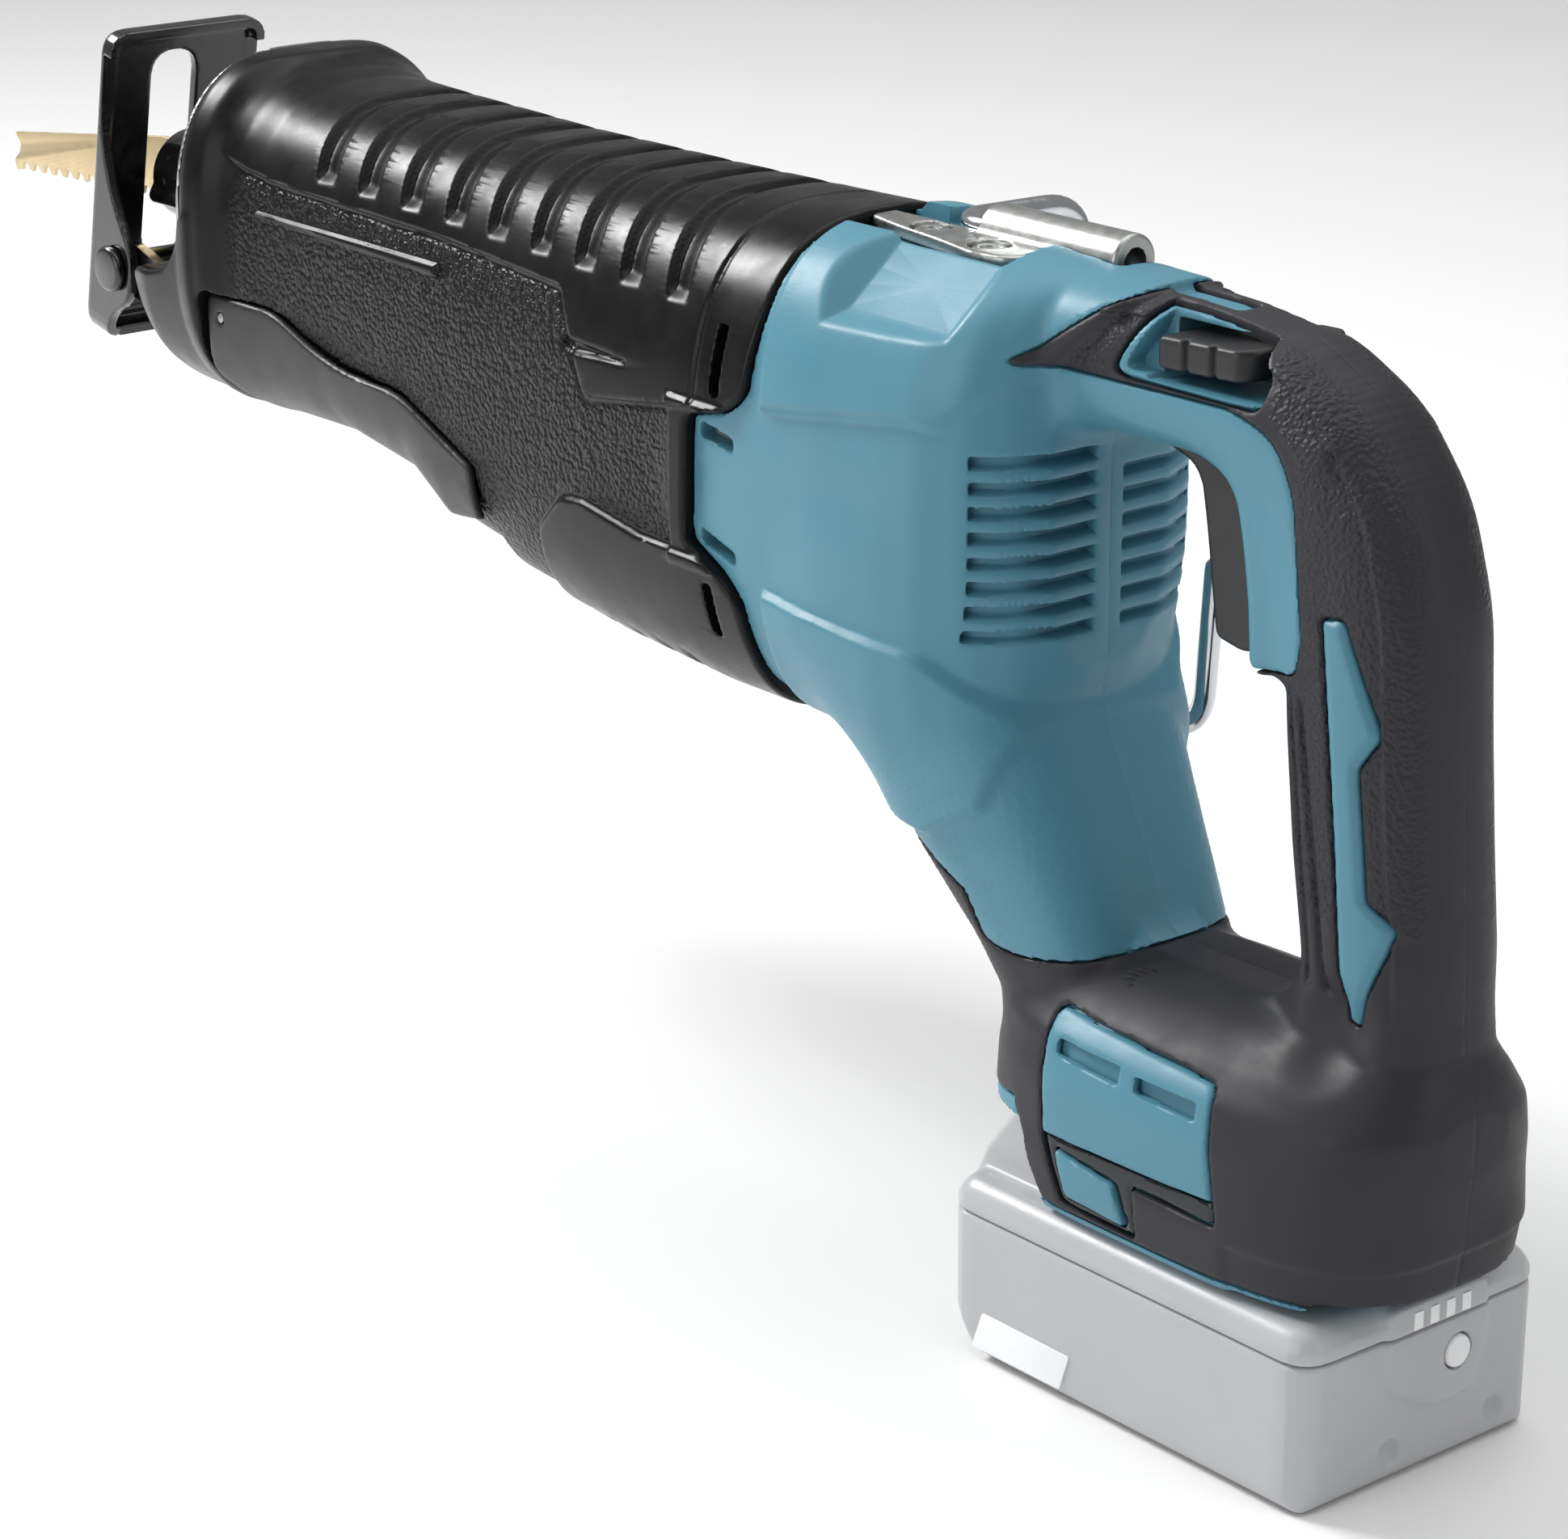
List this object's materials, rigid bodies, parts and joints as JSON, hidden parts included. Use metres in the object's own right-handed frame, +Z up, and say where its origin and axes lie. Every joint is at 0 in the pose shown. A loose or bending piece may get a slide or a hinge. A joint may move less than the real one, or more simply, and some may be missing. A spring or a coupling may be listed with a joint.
{
  "type": "cordless reciprocating saw",
  "caption": "Cordless reciprocating saw with a D-handle, rubber front boot, pivoting shoe, swing-out hanging hook and a slide-on battery.",
  "frame": {"origin": "centre of the battery's flat underside", "axes": "+Z up, blade towards -X, the tool's left side towards -Y"},
  "size_m": [0.5774, 0.0898, 0.2563],
  "materials": {
    "teal_plastic": "satin moulded",
    "grip_rubber": "grained",
    "boot_rubber": "grained",
    "dark_plastic": "satin",
    "gloss_plastic": "polished",
    "pale_plastic": "satin",
    "cast_aluminium": "cast",
    "steel": "ground",
    "black_steel": "gloss black",
    "chrome": "polished",
    "blade_steel": "ground",
    "copper": "drawn",
    "circuit_board": "satin"
  },
  "bodies": {
    "body": {"left_housing": "teal_plastic", "right_housing": "teal_plastic", "left_overmould": "grip_rubber", "right_overmould": "grip_rubber", "left_handle_inlay": "teal_plastic", "right_handle_inlay": "teal_plastic", "left_foot_panel": "teal_plastic", "left_foot_strip": "gloss_plastic", "left_foot_badge": "teal_plastic", "right_foot_panel": "teal_plastic", "right_foot_strip": "gloss_plastic", "right_foot_badge": "teal_plastic", "gear_case": "cast_aluminium", "gear_case_cover": "cast_aluminium", "front_boot": "boot_rubber", "front_plate": "cast_aluminium", "plunger_seal": "grip_rubber", "front_bush": "copper", "rear_bush": "copper", "crank_bearing": "steel", "stator": "copper", "upper_motor_bearing": "steel", "lower_motor_bearing": "steel", "left_lever_pin": "steel", "right_lever_pin": "steel", "switch_body": "dark_plastic", "hook_bracket": "cast_aluminium", "hook_bolt_1": "steel", "hook_bolt_2": "steel", "control_board": "circuit_board", "terminal_block": "dark_plastic", "tool_terminals": "copper", "housing_screw_1": "steel", "housing_screw_2": "steel", "housing_screw_3": "steel"},
    "blade_carrier": {"slider_yoke": "steel", "plunger": "steel", "clamp_core": "steel", "blade": "blade_steel"},
    "clamp_collar": {"clamp_sleeve": "black_steel"},
    "shoe_carriage": {"shoe_arm": "black_steel", "shoe_rivet": "steel"},
    "shoe": {"shoe_plate": "black_steel"},
    "shoe_lever": {"release_lever": "dark_plastic"},
    "hook": {"rafter_hook": "chrome"},
    "trigger": {"trigger": "dark_plastic"},
    "lock_off": {"lock_off_lever": "dark_plastic"},
    "crank": {"crank_gear": "steel", "crank_shaft": "steel", "crank_pin": "steel"},
    "motor_rotor": {"pinion_shaft": "steel", "rotor": "steel", "cooling_fan": "dark_plastic"},
    "battery": {"battery_lower_case": "pale_plastic", "battery_upper_case": "pale_plastic", "battery_cells_lower": "teal_plastic", "battery_cells_upper": "teal_plastic", "battery_terminals": "copper"},
    "battery_latch": {"battery_release_button": "dark_plastic"},
    "battery_gauge": {"gauge_button": "dark_plastic"}
  },
  "joints": [
    {"name": "blade_stroke", "type": "slide", "parent": "body", "child": "blade_carrier", "axis": [1, 0, 0], "range_m": [0, 0.032]},
    {"name": "clamp_turn", "type": "hinge", "parent": "blade_carrier", "child": "clamp_collar", "pos_m": [-0.4, 0, 0.211], "axis": [1, 0, 0], "range_deg": [0, 60], "stiffness_Nm_per_rad": 0.05},
    {"name": "shoe_slide", "type": "slide", "parent": "body", "child": "shoe_carriage", "axis": [-1, 0, 0], "range_m": [0, 0.03]},
    {"name": "shoe_tilt", "type": "hinge", "parent": "shoe_carriage", "child": "shoe", "pos_m": [-0.419, 0, 0.187], "axis": [0, -1, 0], "range_deg": [-4, 25]},
    {"name": "lever_drop", "type": "hinge", "parent": "body", "child": "shoe_lever", "pos_m": [-0.345, 0, 0.188], "axis": [0, 1, 0], "range_deg": [0, 11]},
    {"name": "hook_swing", "type": "hinge", "parent": "body", "child": "hook", "pos_m": [-0.07, 0.0055, 0.2474], "axis": [1, 0, 0], "range_deg": [0, 100]},
    {"name": "trigger_pull", "type": "hinge", "parent": "body", "child": "trigger", "pos_m": [-0.02, 0, 0.2175], "axis": [0, -1, 0], "range_deg": [0, 7], "stiffness_Nm_per_rad": 1.2},
    {"name": "lock_off_press", "type": "hinge", "parent": "body", "child": "lock_off", "pos_m": [0.011, 0, 0.236], "axis": [0, -1, 0], "range_deg": [0, 5], "stiffness_Nm_per_rad": 0.6},
    {"name": "crank_turn", "type": "hinge", "parent": "body", "child": "crank", "pos_m": [-0.1144, 0, 0.211], "axis": [0, 1, 0], "range_deg": [-1, 181]},
    {"name": "rotor_turn", "type": "hinge", "parent": "body", "child": "motor_rotor", "pos_m": [-0.1144, 0, 0.211], "axis": [-0.5, 0, 0.866], "range_deg": [-812, 2]},
    {"name": "battery_slide", "type": "slide", "parent": "body", "child": "battery", "axis": [-1, 0, 0], "range_m": [0, 0.1]},
    {"name": "battery_latch_press", "type": "slide", "parent": "battery", "child": "battery_latch", "axis": [0, 0, -1], "range_m": [0, 0.003], "stiffness_N_per_m": 400},
    {"name": "gauge_press", "type": "slide", "parent": "battery", "child": "battery_gauge", "axis": [-1, 0, 0], "range_m": [0, 0.001], "stiffness_N_per_m": 600}
  ],
  "couplings": [
    {"joint": "crank_turn", "follows": "blade_stroke", "rad_per_m": 98.175},
    {"joint": "rotor_turn", "follows": "blade_stroke", "rad_per_m": -441.79}
  ]
}
